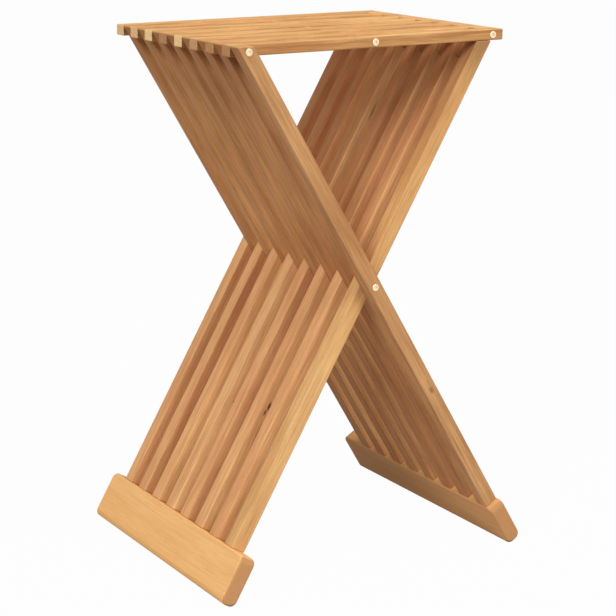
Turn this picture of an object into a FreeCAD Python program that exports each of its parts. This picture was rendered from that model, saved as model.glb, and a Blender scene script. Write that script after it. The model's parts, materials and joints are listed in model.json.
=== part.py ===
import FreeCAD, Part
import math
import os

# Folding stool of hardwood slats: two leg panels cross on a pivot bolt, and a seat panel is hinged to one.
# Frame: X along the seat slats, Y across the stool, Z up, origin on the floor under the cross pivot.
# The hinge leg runs from the seat's hinge at -X down to its foot at +X, and the prop leg mirrors its slope.

# Slats and the lanes that they run in across the stool, in millimetres
SLATS_PER_PANEL = 8
SLAT_WIDTH = 20.7
LANE_GAP = 0.3
LEG_SLAT_DEPTH = 20.0
SEAT_SLAT_HEIGHT = 14.0
SLAT_EDGE_RADIUS = 1.5

# Stance, in millimetres and degrees
SEAT_HEIGHT = 700.0
PIVOT_HEIGHT = 384.5
LEG_SLOPE = 59.55

# Seat, measured from its bolts
SEAT_PAST_HINGE = 15.0
SEAT_PAST_END_BOLT = 16.0
MIDDLE_BOLT_FROM_HINGE = 192.0
END_BOLT_PAST_PROP_LEG = 2.0

# Foot boards
FOOT_LENGTH = 379.0
FOOT_THICKNESS = 23.0
FOOT_BOARD_HEIGHT = 66.0
FOOT_LOWER_RADIUS = 9.0
FOOT_CORNER_RADIUS = 9.5
FOOT_EDGE_RADIUS = 3.0
SOLE_PLANED_OFF = 0.4

# Bolts and sleeve nuts
BOLT_RADIUS = 3.0
HEAD_RADIUS = 4.7
HEAD_SINK = 2.2
HEAD_PROUD = 0.8
HEAD_ROUNDING = 0.5
SOCKET_ACROSS_FLATS = 4.0
SOCKET_DEPTH = 2.0
NUT_SINK = 9.0
NUT_BORE_DEPTH = 6.0
NUT_END_GAP = 0.1
BOLT_TAIL_ROOM = 0.5
RUNNING_CLEARANCE = 0.05
HEAD_CLEARANCE = 0.1

# Spacer rings on the seat's middle bolt, and how far the end blocks reach before the end bolt
SPACER_RADIUS = 6.0
END_BLOCK_BEFORE_BOLT = 8.5

# Stop blocks between the tops of the prop leg's slats, their tongues and their dowel
STOP_BLOCK_LENGTH = 27.0
STOP_BLOCK_DEPTH = 11.0
TONGUE_WIDTH = 10.0
TONGUE_BELOW_SEAT_TOP = 3.0
STOP_GAP = 0.1
SEAT_REST_GAP = 0.1
STOP_DOWEL_RADIUS = 2.5
STOP_DOWEL_BELOW_TOP = 16.0
STOP_DOWEL_COVER = 8.0

# Dowels in the foot joints
FOOT_DOWEL_RADIUS = 4.0
FOOT_DOWEL_LENGTH = 44.0
GLUE_GAP = 0.05
DOWEL_END_ROOM = 0.5

# What follows from the driving dimensions
PITCH = SLAT_WIDTH + LANE_GAP
LANES = 2 * SLATS_PER_PANEL
COS = math.cos(math.radians(LEG_SLOPE))
SIN = math.sin(math.radians(LEG_SLOPE))
HALF_DEPTH = LEG_SLAT_DEPTH / 2
SEAT_UNDERSIDE = SEAT_HEIGHT - SEAT_SLAT_HEIGHT
BOLT_LEVEL = SEAT_HEIGHT - SEAT_SLAT_HEIGHT / 2
PROP_TOP = SEAT_UNDERSIDE - SEAT_REST_GAP
HINGE_X = -(BOLT_LEVEL - PIVOT_HEIGHT) * COS / SIN
MIDDLE_X = HINGE_X + MIDDLE_BOLT_FROM_HINGE
PROP_INNER_X = (SEAT_UNDERSIDE - PIVOT_HEIGHT) * COS / SIN + HALF_DEPTH / SIN
END_X = PROP_INNER_X + END_BOLT_PAST_PROP_LEG
SEAT_LEFT = HINGE_X - SEAT_PAST_HINGE
SEAT_RIGHT = END_X + SEAT_PAST_END_BOLT

# The rounded lower edge of a foot board reaches a little below the floor, and the sole is planed flat there.
SOLE_ARC_OFFSET = FOOT_THICKNESS / 2 - FOOT_LOWER_RADIUS
SOLE_ARC_HEIGHT = FOOT_LOWER_RADIUS - SOLE_PLANED_OFF
FOOT_END = FOOT_LOWER_RADIUS + (PIVOT_HEIGHT - SOLE_ARC_HEIGHT - SOLE_ARC_OFFSET * COS) / SIN
FOOT_START = FOOT_END - FOOT_BOARD_HEIGHT

HINGE_LEG = 1
PROP_LEG = -1
ACROSS = FreeCAD.Vector(0, 1, 0)
SAME_PLACE = 0.001


def lane_middle(lane):
    """Y of the middle of a lane, counted from 1 at the far side."""
    return (SLATS_PER_PANEL - lane) * PITCH


def near_face(lane):
    return lane_middle(lane) - SLAT_WIDTH / 2


def far_face(lane):
    return lane_middle(lane) + SLAT_WIDTH / 2


def leg_point(leg, reach, offset):
    """X and Z at a reach down a leg from the pivot and an offset towards its outer face."""
    x = leg * (reach * COS + offset * SIN)
    z = PIVOT_HEIGHT - reach * SIN + offset * COS
    return x, z


def reach_at_height(height, offset):
    """Reach, negative above the pivot, at which a leg's line at this offset has the given height."""
    return (PIVOT_HEIGHT + offset * COS - height) / SIN


def prop_reach_at(x, offset):
    """Reach at which the prop leg's line at this offset has the given X."""
    return -(x + offset * SIN) / COS


def prism(outline, y_low, width):
    """Solid with this outline in X and Z, from y_low across the stool."""
    corners = [FreeCAD.Vector(x, y_low, z) for x, z in outline]
    wire = Part.makePolygon(corners + corners[:1])
    return Part.Face(wire).extrude(ACROSS * width)


def rod(radius, x, z, y_low, y_high):
    return Part.makeCylinder(radius, y_high - y_low, FreeCAD.Vector(x, y_low, z), ACROSS)


def leg_rod(radius, leg, start, end, y):
    """Round bar along a leg's middle line, from one reach to another."""
    x, z = leg_point(leg, start, 0)
    direction = FreeCAD.Vector(leg * COS, 0, -SIN)
    return Part.makeCylinder(radius, end - start, FreeCAD.Vector(x, y, z), direction)


def eased(solid):
    """The solid with all its edges rounded as on sanded wood."""
    return solid.makeFillet(SLAT_EDGE_RADIUS, solid.Edges)


def bolt_places():
    """Each bolt with its X, its Z, and the lanes of its head and of its nut."""
    return {
        "seat_hinge": (HINGE_X, BOLT_LEVEL, LANES, 1),
        "cross_pivot": (0.0, PIVOT_HEIGHT, LANES, 1),
        "seat_middle": (MIDDLE_X, BOLT_LEVEL, LANES - 1, 1),
        "seat_end": (END_X, BOLT_LEVEL, LANES - 1, 1),
    }


def bored(solid, lane, bolts):
    """The slat in this lane with the holes and head recesses of the bolts that pass through it."""
    for name in bolts:
        x, z, head_lane, nut_lane = bolt_places()[name]
        hole = BOLT_RADIUS + RUNNING_CLEARANCE
        recess = HEAD_RADIUS + HEAD_CLEARANCE
        solid = solid.cut(rod(hole, x, z, near_face(lane) - PITCH, far_face(lane) + PITCH))
        if lane == head_lane:
            solid = solid.cut(rod(recess, x, z, near_face(lane) - PITCH, near_face(lane) + HEAD_SINK))
        if lane == nut_lane:
            solid = solid.cut(rod(recess, x, z, far_face(lane) - NUT_SINK, far_face(lane) + PITCH))
    return solid


def foot_dowel_hole(leg, y):
    half = FOOT_DOWEL_LENGTH / 2 + DOWEL_END_ROOM
    return leg_rod(FOOT_DOWEL_RADIUS + GLUE_GAP, leg, FOOT_START - half, FOOT_START + half, y)


def leg_slat(leg, lane, top, bolts):
    """Leg slat from its level top end down to the foot board."""
    outline = [
        leg_point(leg, FOOT_START, HALF_DEPTH),
        leg_point(leg, FOOT_START, -HALF_DEPTH),
        leg_point(leg, reach_at_height(top, -HALF_DEPTH), -HALF_DEPTH),
        leg_point(leg, reach_at_height(top, HALF_DEPTH), HALF_DEPTH),
    ]
    slat = eased(prism(outline, near_face(lane), SLAT_WIDTH))
    slat = slat.cut(foot_dowel_hole(leg, lane_middle(lane)))
    return bored(slat, lane, bolts)


def hinge_leg_slat(lane):
    return leg_slat(HINGE_LEG, lane, SEAT_HEIGHT, ["seat_hinge", "cross_pivot"])


def prop_leg_slat(lane):
    slat = leg_slat(PROP_LEG, lane, PROP_TOP, ["cross_pivot"])
    return slat.cut(stop_dowel(GLUE_GAP, DOWEL_END_ROOM))


def seat_slat(lane):
    corner = FreeCAD.Vector(SEAT_LEFT, near_face(lane), SEAT_UNDERSIDE)
    slat = eased(Part.makeBox(SEAT_RIGHT - SEAT_LEFT, SLAT_WIDTH, SEAT_SLAT_HEIGHT, corner))
    return bored(slat, lane, ["seat_hinge", "seat_middle", "seat_end"])


def edges_at(solid, places):
    """The solid's edges whose middles are at these places in X and Z."""
    found = []
    for edge in solid.Edges:
        middle = edge.CenterOfMass
        if any(math.dist((middle.x, middle.z), place) < SAME_PLACE for place in places):
            found.append(edge)
    return found


def foot_board(leg, lanes):
    """Board with round upper corners and a round lower side, planed flat where it stands on the floor."""
    half = FOOT_THICKNESS / 2
    upper = [leg_point(leg, FOOT_START, -half), leg_point(leg, FOOT_START, half)]
    lower = [leg_point(leg, FOOT_END, half), leg_point(leg, FOOT_END, -half)]
    board = prism(upper + lower, -FOOT_LENGTH / 2, FOOT_LENGTH)
    board = board.makeFillet(FOOT_LOWER_RADIUS, edges_at(board, lower))
    board = board.makeFillet(FOOT_CORNER_RADIUS, edges_at(board, [leg_point(leg, FOOT_START, 0)]))
    # The upper edges run on round the ends, so their rounding does too.
    board = board.makeFillet(FOOT_EDGE_RADIUS, edges_at(board, upper))
    reach = FOOT_END + FOOT_LENGTH
    below_floor = FreeCAD.Vector(-reach, -reach, -reach)
    board = board.cut(Part.makeBox(2 * reach, 2 * reach, reach, below_floor))
    for lane in lanes:
        board = board.cut(foot_dowel_hole(leg, lane_middle(lane)))
    return board


def foot_dowels(leg, lanes):
    start = FOOT_START - FOOT_DOWEL_LENGTH / 2
    end = FOOT_START + FOOT_DOWEL_LENGTH / 2
    return Part.makeCompound([leg_rod(FOOT_DOWEL_RADIUS, leg, start, end, lane_middle(k)) for k in lanes])


def hex_socket(x, z, y_low, y_high):
    radius = SOCKET_ACROSS_FLATS / math.sqrt(3)
    turns = [math.radians(60 * k) for k in range(6)]
    outline = [(x + radius * math.cos(a), z + radius * math.sin(a)) for a in turns]
    return prism(outline, y_low, y_high - y_low)


def rounded_cap(x, z, y_low, y_high, face):
    """Round head with its outer rim eased, the rim being the one at Y = face."""
    cap = rod(HEAD_RADIUS, x, z, y_low, y_high)
    rim = [e for e in cap.Edges if e.Closed and abs(e.CenterOfMass.y - face) < SAME_PLACE]
    return cap.makeFillet(HEAD_ROUNDING, rim)


def bolt(name):
    x, z, head_lane, nut_lane = bolt_places()[name]
    face = near_face(head_lane) - HEAD_PROUD
    seat = near_face(head_lane) + HEAD_SINK
    tail = far_face(nut_lane) - NUT_SINK + NUT_END_GAP + NUT_BORE_DEPTH - BOLT_TAIL_ROOM
    head = rounded_cap(x, z, face, seat, face)
    head = head.cut(hex_socket(x, z, face, face + SOCKET_DEPTH))
    return head.fuse(rod(BOLT_RADIUS, x, z, seat, tail))


def nut(name):
    x, z, _, nut_lane = bolt_places()[name]
    face = far_face(nut_lane) + HEAD_PROUD
    inner = far_face(nut_lane) - NUT_SINK + NUT_END_GAP
    body = rounded_cap(x, z, inner, face, face)
    body = body.cut(rod(BOLT_RADIUS + RUNNING_CLEARANCE, x, z, inner, inner + NUT_BORE_DEPTH))
    return body.cut(hex_socket(x, z, face - SOCKET_DEPTH, face))


def middle_spacers(lanes):
    """Rings that fill the gaps between the seat slats on the middle bolt."""
    x, z, _, _ = bolt_places()["seat_middle"]
    rings = []
    for lane in lanes:
        low = far_face(lane + 1)
        high = near_face(lane - 1)
        ring = rod(SPACER_RADIUS, x, z, low, high)
        rings.append(ring.cut(rod(BOLT_RADIUS + RUNNING_CLEARANCE, x, z, low, high)))
    return Part.makeCompound(rings)


def end_blocks(lanes):
    """Blocks that fill the gaps between the seat slats round the end bolt, flush with the slats."""
    start = END_X - END_BLOCK_BEFORE_BOLT
    blocks = []
    for lane in lanes:
        low = far_face(lane + 1)
        high = near_face(lane - 1)
        corner = FreeCAD.Vector(start, low, SEAT_UNDERSIDE)
        block = eased(Part.makeBox(SEAT_RIGHT - start, high - low, SEAT_SLAT_HEIGHT, corner))
        blocks.append(bored(block, lane, ["seat_end"]))
    return Part.makeCompound(blocks)


def stop_dowel(gap, end_room):
    """Dowel through the prop leg's tops, or with a gap the hole for it, blind in the outermost slats."""
    offset = STOP_BLOCK_DEPTH / 2 - HALF_DEPTH
    x, z = leg_point(PROP_LEG, reach_at_height(PROP_TOP - STOP_DOWEL_BELOW_TOP, offset), offset)
    low = near_face(LANES - 1) + STOP_DOWEL_COVER - end_room
    high = far_face(1) - STOP_DOWEL_COVER + end_room
    return rod(STOP_DOWEL_RADIUS + gap, x, z, low, high)


def stop_blocks(lanes):
    """Blocks set back between the prop leg's slats, whose tongues bear on the seat's end blocks."""
    top = SEAT_HEIGHT - TONGUE_BELOW_SEAT_TOP
    right = END_X - END_BLOCK_BEFORE_BOLT - STOP_GAP
    left = right - TONGUE_WIDTH
    front = STOP_BLOCK_DEPTH - HALF_DEPTH
    low = reach_at_height(PROP_TOP, 0) + STOP_BLOCK_LENGTH
    outline = [
        leg_point(PROP_LEG, low, -HALF_DEPTH),
        leg_point(PROP_LEG, low, front),
        leg_point(PROP_LEG, prop_reach_at(left, front), front),
        (left, top),
        (right, top),
        leg_point(PROP_LEG, prop_reach_at(right, -HALF_DEPTH), -HALF_DEPTH),
    ]
    hole = stop_dowel(GLUE_GAP, DOWEL_END_ROOM)
    return Part.makeCompound([prism(outline, near_face(k), SLAT_WIDTH).cut(hole) for k in lanes])


def all_pieces():
    odd_lanes = range(1, LANES, 2)
    even_lanes = range(2, LANES + 1, 2)
    inner_lanes = range(2, LANES - 1, 2)
    pieces = {}
    for count, lane in enumerate(even_lanes, 1):
        pieces[f"hinge_leg_slat_{count}"] = hinge_leg_slat(lane)
    for count, lane in enumerate(odd_lanes, 1):
        pieces[f"prop_leg_slat_{count}"] = prop_leg_slat(lane)
        pieces[f"seat_slat_{count}"] = seat_slat(lane)
    pieces["hinge_leg_foot"] = foot_board(HINGE_LEG, even_lanes)
    pieces["prop_leg_foot"] = foot_board(PROP_LEG, odd_lanes)
    pieces["hinge_leg_foot_dowels"] = foot_dowels(HINGE_LEG, even_lanes)
    pieces["prop_leg_foot_dowels"] = foot_dowels(PROP_LEG, odd_lanes)
    for name in bolt_places():
        pieces[f"{name}_bolt"] = bolt(name)
        pieces[f"{name}_nut"] = nut(name)
    pieces["seat_middle_spacers"] = middle_spacers(inner_lanes)
    pieces["seat_end_blocks"] = end_blocks(inner_lanes)
    pieces["prop_leg_stop_blocks"] = stop_blocks(inner_lanes)
    pieces["prop_leg_stop_dowel"] = stop_dowel(0.0, 0.0)
    return pieces


os.makedirs("parts", exist_ok=True)
for node, shape in all_pieces().items():
    shape.exportStep(f"parts/{node}.step")
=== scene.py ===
import json
import math
import random
from collections import namedtuple

import bpy
from mathutils import Euler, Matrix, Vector

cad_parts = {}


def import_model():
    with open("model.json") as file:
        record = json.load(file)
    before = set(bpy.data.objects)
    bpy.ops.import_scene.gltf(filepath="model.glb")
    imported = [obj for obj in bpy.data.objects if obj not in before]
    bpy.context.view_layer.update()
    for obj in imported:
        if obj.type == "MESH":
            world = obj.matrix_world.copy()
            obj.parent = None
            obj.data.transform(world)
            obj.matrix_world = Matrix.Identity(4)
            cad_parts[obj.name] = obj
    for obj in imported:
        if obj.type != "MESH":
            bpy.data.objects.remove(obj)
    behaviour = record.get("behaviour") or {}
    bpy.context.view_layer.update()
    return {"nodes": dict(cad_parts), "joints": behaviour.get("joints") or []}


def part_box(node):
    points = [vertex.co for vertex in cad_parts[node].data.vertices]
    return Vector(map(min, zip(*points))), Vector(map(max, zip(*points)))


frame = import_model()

# Folding stool of oiled hardwood slats, in metres, in the frame of the solids
JOINTS = {joint["name"]: joint for joint in frame["joints"]}
PIVOT = Vector(JOINTS["leg_fold"]["pos_m"])
HINGE = Vector(JOINTS["seat_fold"]["pos_m"])
LEG_SLOPE = math.atan2(HINGE.z - PIVOT.z, PIVOT.x - HINGE.x)
LEG_DEPTH_TO_WIDTH = 0.97
BOLTS = ("seat_hinge", "cross_pivot", "seat_middle", "seat_end")

# Camera at the photograph's viewing angle, for a square picture
PICTURE = 616
AZIMUTH = math.radians(30.82)
ELEVATION = math.radians(14.07)
DISTANCE = 2.5441
FOCAL_PIXELS = 1869.8
AIM_TO_RIGHT = 0.0054
AIM_HEIGHT = 0.3194
SENSOR = 36.0

# Stage, and lamps with their place, width and power in watts
WHITE = (1, 1, 1, 1)
FLOOR_SIZE = 80.0
FLOOR_LEVEL = -0.0005
FLOOR_COLOUR = (0.47, 0.465, 0.46, 1)
FLOOR_WHITENESS = 0.975
WORLD_STRENGTH = 0.36
LAMP_AIM = (0, 0, 0.35)
LAMPS = {
    "key": ((-7.2, -4.0, 5.95), 3.5, 490.0),
    "front": ((2.4, -7.1, 6.95), 6.0, 710.0),
}

# Wood colours, as light wood, dark growth lines and drifting tint, in display values from 0 to 255
TONES = {
    "honey": ((234, 178, 122), (196, 138, 90), (221, 159, 108)),
    "wheat": ((238, 185, 128), (203, 147, 97), (226, 167, 115)),
    "straw": ((234, 186, 125), (205, 151, 98), (216, 163, 106)),
    "gold": ((237, 186, 121), (190, 134, 81), (215, 157, 99)),
    "amber": ((247, 193, 127), (224, 164, 102), (242, 184, 119)),
    "toffee": ((219, 166, 110), (193, 140, 88), (209, 153, 98)),
    "tan": ((211, 159, 108), (166, 114, 70), (186, 131, 85)),
    "chestnut": ((208, 152, 100), (164, 109, 66), (192, 132, 85)),
    "russet": ((205, 146, 96), (158, 102, 62), (187, 126, 82)),
    # Tone darkened with painted shade, for the stop blocks under the seat
    "shade_umber": ((184, 125, 80), (150, 99, 62), (168, 113, 72)),
}
KNOT_AND_SHADE_COLOUR = (70, 40, 24)
PORE_COLOUR = (120, 78, 46)
# Painted shade of the seat over the leg slats' heads
HEAD_SHADE_COLOUR = (159, 106, 69)

# Colours of the end grain
LEG_END = (208, 159, 101)
FOOT_END = (184, 133, 89)
SEAT_ENDS = {
    "cream": (250, 212, 156),
    "pale": (238, 194, 143),
    "buff": (201, 155, 112),
    "brown": (184, 136, 94),
}

# Leg slats from the far side to the near one: tone, shade and coolness of the sides, partly their own tone
# and partly painted light and shade in the gaps, and the share of painted shade under the seat at the head,
# on the faces and on the sides
HINGE_LEG_SLATS = (
    ("chestnut", 1.03, 1.08, 0.60, 0.50),
    ("chestnut", 1.10, 1.12, 0.60, 0.50),
    ("chestnut", 1.00, 1.06, 0.60, 0.50),
    ("chestnut", 0.88, 1.08, 0.60, 0.50),
    ("chestnut", 0.87, 1.05, 0.60, 0.50),
    ("russet", 0.86, 1.07, 0.60, 0.50),
    ("russet", 0.77, 1.06, 0.60, 0.50),
    ("tan", 0.90, 1.02, 0.60, 0.10),
)
PROP_LEG_SLATS = (
    ("honey", 1.02, 0.94, 0.56, 0.39),
    ("honey", 0.92, 0.91, 0.56, 0.21),
    ("honey", 1.15, 1.06, 0.63, 0.42),
    ("wheat", 1.19, 1.09, 0.67, 0.39),
    ("honey", 0.92, 0.96, 0.73, 0.55),
    ("honey", 1.03, 1.03, 0.92, 0.50),
    ("honey", 1.12, 1.02, 1.00, 0.65),
    ("straw", 0.92, 0.99, 0.80, 0.20),
)
# Where the painted shade under the seat begins and is full, along the slat from the pivot
HINGE_LEG_HEAD_SHADE = (0.2, 0.38)
PROP_LEG_HEAD_SHADE = (0.04, 0.38)

# Seat slats from the far side to the near one: colour of the end grain, shade and coolness of the sides,
# partly their own tone and partly painted light and shade in the gaps
SEAT_SLATS = (
    ("pale", 0.97, 1.0),
    ("pale", 0.97, 1.0),
    ("cream", 0.97, 1.0),
    ("brown", 0.97, 1.0),
    ("cream", 0.97, 1.0),
    ("buff", 0.97, 1.0),
    ("brown", 0.97, 1.0),
    ("brown", 0.68, 0.92),
)
# Nooks between the seat slats at the hinge, where shade is painted: where they end, along the slat from its
# middle, and the painted shade
NOOK_ENDS = (-0.19, -0.165)
NOOK_PAINTED_SHADE = 0.45

# Strength of the grain
PLAIN_FIGURE = 1.0
SEAT_FIGURE = 1.25
FOOT_FIGURE = 0.4

# Pieces that hardly show, and their tones; the stop blocks and their dowel under the seat take a tone
# darkened with painted shade
HIDDEN_WOOD = {
    "seat_middle_spacers": "gold",
    "seat_end_blocks": "gold",
    "prop_leg_stop_blocks": "shade_umber",
    "prop_leg_stop_dowel": "shade_umber",
    "hinge_leg_foot_dowels": "honey",
    "prop_leg_foot_dowels": "honey",
}

# Knots and dark streaks on the near side, by slat, and on the near prop slat a painted shadow of the seat at
# the
# head: place along the grain and deep from the pivot, radius, stretch along the grain and strength
Knot = namedtuple("Knot", "along deep radius stretch strength")
HINGE_LEG_KNOTS = {
    8: (Knot(-0.1738, -0.001, 0.0038, 1.7, 0.5), Knot(-0.162, -0.002, 0.0018, 4.0, 0.25)),
}
PROP_LEG_KNOTS_AND_SHADE = {
    4: (Knot(-0.212, -0.003, 0.0011, 1.5, 0.7), Knot(0.225, -0.001, 0.0022, 8.0, 0.55)),
    6: (Knot(-0.196, -0.003, 0.0028, 2.5, 0.9), Knot(-0.206, -0.001, 0.0020, 2.5, 0.8),
        Knot(-0.240, -0.005, 0.0016, 14.0, 0.6)),
    # Painted shadow of the seat at the head of the near slat's side
    8: (Knot(0.36, 0.0, 0.03, 2.2, 0.4),),
}
# Core and rim of a knot, and how far the wave in the grain dents it, in radii
KNOT_CORE = 0.5
KNOT_RIM = 1.5
KNOT_DENT = 0.6

# Noise in the wood, as cells per metre along and across the grain
DRIFT_CELLS = (1.6, 14.0)
WAVE_CELLS = (9.0, 70.0)
BLOTCH_CELLS = (6.0, 32.0)
STREAK_CELLS = (5.5, 130.0)
FIBRE_CELLS = (22.0, 560.0)
PORE_CELLS = (55.0, 1900.0)
SOFT_DETAIL = 2.0
SOFT_ROUGHNESS = 0.5
FINE_DETAIL = 3.0
FINE_ROUGHNESS = 0.6
PORE_DETAIL = 1.0
LARGEST_SHIFT = 40

# Growth rings: distance to the pith, spacing, how far drift and wave push them, the stretch of a ring over
# which late wood comes in, and how much of it differs from year to year
PITH_DISTANCE = (0.03, 0.09)
RING_SPACING = (0.0032, 0.0055)
DRIFT_PUSH = 0.03
WAVE_PUSH = 0.006
LATE_WOOD = (0.25, 0.95)
YEAR_SPREAD = 0.7

# Marks in the grain: noise values between which they come in, and their full share in the colour or its shade
LINE_SHARE = 0.36
BLOTCH_LIMITS = (0.34, 0.62)
BLOTCH_SHARE = 0.9
STREAK_LIMITS = (0.44, 0.74)
STREAK_SHARE = 0.6
PORE_LIMITS = (0.66, 0.74)
PORE_SHARE = 0.25
FIBRE_LIMITS = (0.25, 0.75)
FIBRE_DARKER = 0.16
FIBRE_LIGHTER = 0.12

# Ends and sides, by the part of a face's normal along the grain or across the stool
END_LIMITS = (0.3, 0.7)
END_SHARE = 0.85
SIDE_LIMITS = (0.55, 0.85)

# Painted shade on the long edges, against the light their rounding catches, by the share of the way to them
# from the middle, and painted floor shadow at the soles, by height
EDGE_LIMITS = (0.84, 0.96)
EDGE_SHADE = 0.92
SOLE_SHADOW_LIMITS = (0.0008, 0.005)
SOLE_SHADOW = 0.5

# Surface of the wood
ROUGH_LIMITS = (0.2, 0.8)
WOOD_ROUGHNESS = (0.46, 0.62)
END_ROUGHER = 0.15
LINE_RELIEF = -0.25
PORE_RELIEF = -0.8
WOOD_BUMP = {"Strength": 0.35, "Distance": 0.0003}
WOOD_GLOSS = 0.03

# Steel: two colours in clouds, and fine turning marks
STEEL_COLOURS = ((246, 228, 198), (224, 198, 158))
CLOUD_CELLS = 420.0
CLOUD_LIMITS = (0.3, 0.7)
CLOUD_SHARE = 0.5
MARK_CELLS = (2600, 300, 2600)
STEEL_ROUGHNESS = (0.26, 0.44)
STEEL_BUMP = {"Strength": 0.15, "Distance": 0.00005}


def linear(colour):
    """Scene colour, with alpha, of a display colour from 0 to 255, by the sRGB curve."""
    shares = [c / 255 for c in colour]
    return [c / 12.92 if c <= 0.04045 else ((c + 0.055) / 1.055) ** 2.4 for c in shares] + [1.0]


# Small helpers for shader nodes

def add(tree, kind, values, **settings):
    """New node. A value that is a socket is linked, and any other value is set."""
    made = tree.nodes.new("ShaderNode" + kind)
    for key, value in settings.items():
        setattr(made, key, value)
    for key, value in values.items():
        if isinstance(value, bpy.types.NodeSocket):
            tree.links.new(value, made.inputs[key])
        else:
            made.inputs[key].default_value = value
    return made


def calc(tree, operation, *values):
    """Number from an operation on numbers."""
    return add(tree, "Math", dict(enumerate(values)), operation=operation).outputs[0]


def vector(tree, operation, *values):
    """Vector from an operation on vectors."""
    return add(tree, "VectorMath", dict(enumerate(values)), operation=operation).outputs["Vector"]


def measure(tree, operation, *values):
    """Number from an operation on vectors."""
    return add(tree, "VectorMath", dict(enumerate(values)), operation=operation).outputs["Value"]


def scaled(tree, colour, factor):
    """Colour made darker or lighter by a factor."""
    return add(tree, "VectorMath", {0: colour, "Scale": factor}, operation="SCALE").outputs["Vector"]


def smooth(tree, value, low, high, to_low=0.0, to_high=1.0):
    """Smooth step of a value between two limits."""
    limits = {"Value": value, "From Min": low, "From Max": high, "To Min": to_low, "To Max": to_high}
    return add(tree, "MapRange", limits, interpolation_type="SMOOTHSTEP").outputs["Result"]


def mix(tree, share, first, second):
    """First colour with a share of the second."""
    return add(tree, "Mix", {"Factor": share, 6: first, 7: second}, data_type="RGBA").outputs[2]


def noise(tree, place, scale=1.0, detail=SOFT_DETAIL, roughness=SOFT_ROUGHNESS):
    values = {"Vector": place, "Scale": scale, "Detail": detail, "Roughness": roughness}
    return add(tree, "TexNoise", values).outputs["Fac"]


def new_material(name):
    material = bpy.data.materials.new(name)
    material.use_nodes = True
    tree = material.node_tree
    return material, tree, tree.nodes["Principled BSDF"]


# Solids: their places, sizes and materials

def middle_of(node):
    low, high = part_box(node)
    return (low + high) / 2


def half_of(node):
    low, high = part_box(node)
    return (high - low) / 2


def dress(node, material):
    slots = frame["nodes"][node].data.materials
    slots.clear()
    slots.append(material)


# Wood

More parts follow.
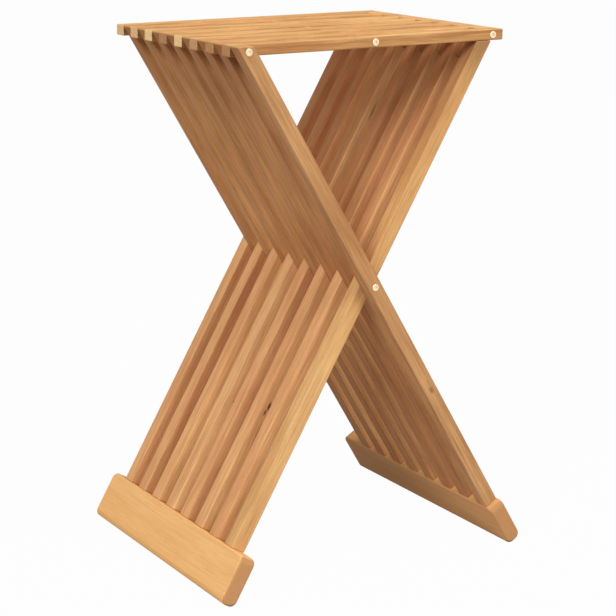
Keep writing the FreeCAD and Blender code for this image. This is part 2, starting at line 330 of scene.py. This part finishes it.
class Wood:
    """Oiled wood of one piece, with its grain through the middle.

    A turn about Y and then about Z brings the grain onto the X axis. The wood starts as plain grain in a
    tone, and figure is the strength of that grain.
    """

    def __init__(self, node, tone, middle, turn, figure=PLAIN_FIGURE):
        draw = random.Random(node)
        self.node = node
        self.figure = figure
        self.material, self.tree, self.shader = new_material(f"{node}_wood")
        self.lay_grain(middle, Euler((0, *turn)))
        self.shift = [draw.uniform(-LARGEST_SHIFT, LARGEST_SHIFT) for _ in range(3)]
        self.wave = self.cells(WAVE_CELLS)
        self.lines = self.growth_lines(draw)
        self.fibre = self.cells(FIBRE_CELLS, FINE_DETAIL, FINE_ROUGHNESS)
        self.pore = smooth(self.tree, self.cells(PORE_CELLS, PORE_DETAIL), *PORE_LIMITS)
        self.colour = self.plain_grain(*(linear(colour) for colour in TONES[tone]))

    def lay_grain(self, middle, turned):
        """Places along the grain, across and deep from the middle, and which faces are ends and sides."""
        tree = self.tree
        matrix = turned.to_matrix()
        self.spot = add(tree, "TexCoord", {}).outputs["Object"]
        laid = {"Vector": self.spot, "Location": matrix @ -middle, "Rotation": turned}
        self.local = add(tree, "Mapping", laid).outputs[0]
        self.along, self.across, self.deep = add(tree, "SeparateXYZ", {0: self.local}).outputs

        normal = add(tree, "NewGeometry", {}).outputs["Normal"]
        facing = add(tree, "VectorTransform", {0: normal}, vector_type="NORMAL",
                     convert_from="WORLD", convert_to="OBJECT").outputs[0]
        grain = matrix.inverted() @ Vector((1, 0, 0))
        endways = calc(tree, "ABSOLUTE", measure(tree, "DOT_PRODUCT", facing, grain))
        self.end = smooth(tree, endways, *END_LIMITS)
        sideways = calc(tree, "ABSOLUTE", add(tree, "SeparateXYZ", {0: facing}).outputs["Y"])
        self.side = smooth(tree, sideways, *SIDE_LIMITS)

    def cells(self, cells, detail=SOFT_DETAIL, roughness=SOFT_ROUGHNESS):
        """Noise drawn out along the grain, from the piece's own part of the tree."""
        along, across = cells
        drawn_out = {"Vector": self.local, "Location": self.shift, "Scale": (along, across, across)}
        place = add(self.tree, "Mapping", drawn_out).outputs[0]
        return noise(self.tree, place, detail=detail, roughness=roughness)

    def growth_lines(self, draw):
        """Late wood, from 0 to 1, in growth rings about a pith that lies outside the piece."""
        tree = self.tree
        bearing = draw.uniform(0, 2 * math.pi)
        pith = draw.uniform(*PITH_DISTANCE)
        spacing = draw.uniform(*RING_SPACING)
        to_y = calc(tree, "ADD", self.across, pith * math.cos(bearing))
        to_z = calc(tree, "ADD", self.deep, pith * math.sin(bearing))
        squares = calc(tree, "ADD", calc(tree, "POWER", to_y, 2.0), calc(tree, "POWER", to_z, 2.0))
        radius = calc(tree, "SQRT", squares)
        radius = calc(tree, "MULTIPLY_ADD", self.cells(DRIFT_CELLS), DRIFT_PUSH, radius)
        radius = calc(tree, "MULTIPLY_ADD", self.wave, WAVE_PUSH, radius)
        rings = calc(tree, "MULTIPLY", radius, 1 / spacing)
        late = smooth(tree, calc(tree, "FRACT", rings), *LATE_WOOD)
        count = calc(tree, "FLOOR", rings)
        year = add(tree, "TexWhiteNoise", {"W": count}, noise_dimensions="1D").outputs["Value"]
        return calc(tree, "MULTIPLY", late, calc(tree, "MULTIPLY_ADD", year, YEAR_SPREAD, 1 - YEAR_SPREAD))

    def plain_grain(self, light, dark, tint):
        """Light wood with dark growth lines, slow drifts of tint and short dark streaks."""
        tree = self.tree
        lined = calc(tree, "MULTIPLY", self.lines, LINE_SHARE * self.figure)
        blotched = smooth(tree, self.cells(BLOTCH_CELLS), *BLOTCH_LIMITS, 0.0, BLOTCH_SHARE)
        streaks = self.cells(STREAK_CELLS, FINE_DETAIL, FINE_ROUGHNESS)
        streaked = smooth(tree, streaks, *STREAK_LIMITS, 0.0, STREAK_SHARE * self.figure)
        return mix(tree, streaked, mix(tree, blotched, mix(tree, lined, light, dark), tint), dark)

    def paint_head_shade(self, limits, on_faces, on_sides):
        """Paints the seat's shade over the head, by a share on the faces and another on the sides."""
        most = smooth(self.tree, self.side, 0.0, 1.0, on_faces, on_sides)
        share = calc(self.tree, "MULTIPLY", smooth(self.tree, self.along, *limits), most)
        self.colour = mix(self.tree, share, self.colour, linear(HEAD_SHADE_COLOUR))

    def tone_and_shade_sides(self, shade, coolness, painted_nook_shade=1.0):
        """Gives the sides, which face across the stool, a shade and a coolness, partly their own tone and
        partly painted light and shade in the gaps, and paints shade into their nooks.
        """
        toned = vector(self.tree, "MULTIPLY", self.colour, (shade, shade * coolness, shade * coolness))
        if painted_nook_shade < 1.0:
            toned = scaled(self.tree, toned, smooth(self.tree, self.along, *NOOK_ENDS, painted_nook_shade, 1.0))
        self.colour = mix(self.tree, self.side, self.colour, toned)

    def show_ends(self, end_colour):
        """Shows end grain on the faces across the grain."""
        share = calc(self.tree, "MULTIPLY", self.end, END_SHARE)
        self.colour = mix(self.tree, share, self.colour, linear(end_colour))

    def shade_edges(self, half_width, half_depth):
        """Paints shade on the long edges, against the light that their rounding catches."""
        tree = self.tree
        across = calc(tree, "DIVIDE", calc(tree, "ABSOLUTE", self.across), half_width)
        deep = calc(tree, "DIVIDE", calc(tree, "ABSOLUTE", self.deep), half_depth)
        edge = smooth(tree, calc(tree, "MINIMUM", across, deep), *EDGE_LIMITS, 1.0, EDGE_SHADE)
        self.colour = scaled(tree, self.colour, edge)

    def paint_floor_shadow(self):
        """Paints the floor's contact shadow where the wood meets it."""
        height = add(self.tree, "SeparateXYZ", {0: self.spot}).outputs["Z"]
        self.colour = scaled(self.tree, self.colour, smooth(self.tree, height, *SOLE_SHADOW_LIMITS, SOLE_SHADOW, 1.0))

    def show_fibres(self):
        """Shows light and dark fibres, and pores."""
        darkest = 1.0 - FIBRE_DARKER * self.figure
        lightest = 1.0 + FIBRE_LIGHTER * self.figure
        fibres = smooth(self.tree, self.fibre, *FIBRE_LIMITS, darkest, lightest)
        share = calc(self.tree, "MULTIPLY", self.pore, PORE_SHARE)
        self.colour = mix(self.tree, share, scaled(self.tree, self.colour, fibres), linear(PORE_COLOUR))

    def add_knots_and_shade(self, knots_and_shade, near_side):
        """Adds knots, dark streaks and painted shadow whose middles lie on the near side."""
        tree = self.tree
        for knot in knots_and_shade:
            away = vector(tree, "SUBTRACT", self.local, (knot.along, near_side, knot.deep))
            away = vector(tree, "MULTIPLY", away, (1 / knot.stretch, 1.0, 1.0))
            gap = measure(tree, "LENGTH", away)
            gap = calc(tree, "MULTIPLY_ADD", self.wave, KNOT_DENT * knot.radius, gap)
            share = smooth(tree, gap, KNOT_CORE * knot.radius, KNOT_RIM * knot.radius, knot.strength, 0.0)
            self.colour = mix(tree, share, self.colour, linear(KNOT_AND_SHADE_COLOUR))

    def finish(self):
        """Sets the shader's colour, roughness, relief and gloss, and dresses the piece."""
        tree = self.tree
        inputs = self.shader.inputs
        rough = smooth(tree, self.fibre, *ROUGH_LIMITS, *WOOD_ROUGHNESS)
        rough = calc(tree, "MULTIPLY_ADD", self.end, END_ROUGHER, rough)
        relief = calc(tree, "MULTIPLY_ADD", self.lines, LINE_RELIEF, self.fibre)
        relief = calc(tree, "MULTIPLY_ADD", self.pore, PORE_RELIEF, relief)
        tree.links.new(self.colour, inputs["Base Color"])
        tree.links.new(rough, inputs["Roughness"])
        tree.links.new(add(tree, "Bump", {"Height": relief, **WOOD_BUMP}).outputs[0], inputs["Normal"])
        inputs["Specular IOR Level"].default_value = WOOD_GLOSS
        dress(self.node, self.material)


def dress_leg_slats(panel, slats, turn, head, knots_and_shade):
    for count, (tone, shade, coolness, on_faces, on_sides) in enumerate(slats, 1):
        node = f"{panel}_slat_{count}"
        half_width = half_of(node).y
        middle = Vector((PIVOT.x, middle_of(node).y, PIVOT.z))
        wood = Wood(node, tone, middle, (turn, 0))
        wood.paint_head_shade(head, on_faces, on_sides)
        wood.tone_and_shade_sides(shade, coolness)
        wood.show_ends(LEG_END)
        wood.shade_edges(half_width, half_width * LEG_DEPTH_TO_WIDTH)
        wood.show_fibres()
        wood.add_knots_and_shade(knots_and_shade.get(count, ()), -half_width)
        wood.finish()


def dress_seat_slats():
    for count, (end, shade, coolness) in enumerate(SEAT_SLATS, 1):
        node = f"seat_slat_{count}"
        half = half_of(node)
        wood = Wood(node, "gold", middle_of(node), (0, 0), SEAT_FIGURE)
        wood.tone_and_shade_sides(shade, coolness, NOOK_PAINTED_SHADE)
        wood.show_ends(SEAT_ENDS[end])
        wood.shade_edges(half.y, half.z)
        wood.show_fibres()
        wood.finish()


def dress_feet():
    for panel, lean, tone in (("hinge_leg", -LEG_SLOPE, "toffee"), ("prop_leg", LEG_SLOPE, "amber")):
        node = f"{panel}_foot"
        wood = Wood(node, tone, middle_of(node), (lean, math.pi / 2), FOOT_FIGURE)
        wood.show_ends(FOOT_END)
        wood.paint_floor_shadow()
        wood.show_fibres()
        wood.finish()


def dress_hidden_wood():
    for node, tone in HIDDEN_WOOD.items():
        turn = math.pi / 2 if "dowel" in node else 0
        *_, tint = TONES[tone]
        wood = Wood(node, tone, middle_of(node), (0, turn))
        wood.show_ends(tint)
        wood.show_fibres()
        wood.finish()


# Metal

def steel():
    """Bright plated steel with fine turning marks and a slightly uneven polish."""
    material, tree, shader = new_material("bolt_steel")
    spot = add(tree, "TexCoord", {}).outputs["Object"]
    marks = noise(tree, add(tree, "Mapping", {"Vector": spot, "Scale": MARK_CELLS}).outputs[0])
    clouds = noise(tree, spot, CLOUD_CELLS, FINE_DETAIL)
    clouded = smooth(tree, clouds, *CLOUD_LIMITS, 0.0, CLOUD_SHARE)
    colour = mix(tree, clouded, *(linear(c) for c in STEEL_COLOURS))
    tree.links.new(colour, shader.inputs["Base Color"])
    tree.links.new(smooth(tree, marks, *ROUGH_LIMITS, *STEEL_ROUGHNESS), shader.inputs["Roughness"])
    tree.links.new(add(tree, "Bump", {"Height": marks, **STEEL_BUMP}).outputs[0], shader.inputs["Normal"])
    shader.inputs["Metallic"].default_value = 1.0
    return material


def dress_bolts():
    metal = steel()
    for bolt in BOLTS:
        dress(f"{bolt}_bolt", metal)
        dress(f"{bolt}_nut", metal)


# Stage

def seen(tree):
    """One for what the camera sees straight, in a reflection or through glass, and zero for other light."""
    path = add(tree, "LightPath", {}).outputs
    bent = calc(tree, "MAXIMUM", path["Is Glossy Ray"], path["Is Transmission Ray"])
    return calc(tree, "MAXIMUM", path["Is Camera Ray"], bent)


def floor():
    """Pale floor, white to the camera, that keeps a faint shadow of the object."""
    bpy.ops.mesh.primitive_plane_add(size=FLOOR_SIZE, location=(0, 0, FLOOR_LEVEL))
    plane = bpy.context.object
    plane.name = "floor"
    material, tree, shader = new_material("pale_floor")
    tree.nodes.remove(shader)
    matt = add(tree, "BsdfDiffuse", {"Color": FLOOR_COLOUR}).outputs[0]
    bright = add(tree, "Emission", {"Color": WHITE, "Strength": 1.0}).outputs[0]
    share = calc(tree, "MULTIPLY", seen(tree), FLOOR_WHITENESS)
    both = add(tree, "MixShader", {0: share, 1: matt, 2: bright}).outputs[0]
    tree.links.new(both, tree.nodes["Material Output"].inputs["Surface"])
    plane.data.materials.append(material)


def world():
    """Soft light from all round, white to the camera."""
    made = bpy.data.worlds.new("studio")
    bpy.context.scene.world = made
    made.use_nodes = True
    tree = made.node_tree
    tree.nodes.remove(tree.nodes["Background"])
    soft = add(tree, "Background", {"Color": WHITE, "Strength": WORLD_STRENGTH}).outputs[0]
    bright = add(tree, "Background", {"Color": WHITE, "Strength": 1.0}).outputs[0]
    both = add(tree, "MixShader", {0: seen(tree), 1: soft, 2: bright}).outputs[0]
    tree.links.new(both, tree.nodes["World Output"].inputs["Surface"])


def lights():
    """Large soft lamps that look at the middle of the stool."""
    for name, (place, width, power) in LAMPS.items():
        data = bpy.data.lights.new(name, "AREA")
        data.size = width
        data.energy = power
        made = bpy.data.objects.new(name, data)
        made.location = place
        made.rotation_euler = (Vector(LAMP_AIM) - Vector(place)).to_track_quat("-Z", "Y").to_euler()
        bpy.context.scene.collection.objects.link(made)


def camera():
    """Camera that looks at the aim point from the photograph's side."""
    level = math.cos(ELEVATION)
    back = Vector((-math.sin(AZIMUTH) * level, -math.cos(AZIMUTH) * level, math.sin(ELEVATION)))
    right = Vector((math.cos(AZIMUTH), -math.sin(AZIMUTH), 0))
    data = bpy.data.cameras.new("camera")
    data.sensor_width = SENSOR
    data.lens = SENSOR * FOCAL_PIXELS / PICTURE
    made = bpy.data.objects.new("camera", data)
    made.location = right * AIM_TO_RIGHT + Vector((0, 0, AIM_HEIGHT)) + back * DISTANCE
    made.rotation_euler = (-back).to_track_quat("-Z", "Y").to_euler()
    bpy.context.scene.collection.objects.link(made)
    bpy.context.scene.camera = made


dress_leg_slats("hinge_leg", HINGE_LEG_SLATS, math.pi - LEG_SLOPE, HINGE_LEG_HEAD_SHADE, HINGE_LEG_KNOTS)
dress_leg_slats("prop_leg", PROP_LEG_SLATS, LEG_SLOPE, PROP_LEG_HEAD_SHADE, PROP_LEG_KNOTS_AND_SHADE)
dress_seat_slats()
dress_feet()
dress_hidden_wood()
dress_bolts()
floor()
world()
lights()
camera()
bpy.context.scene.view_settings.view_transform = "Standard"
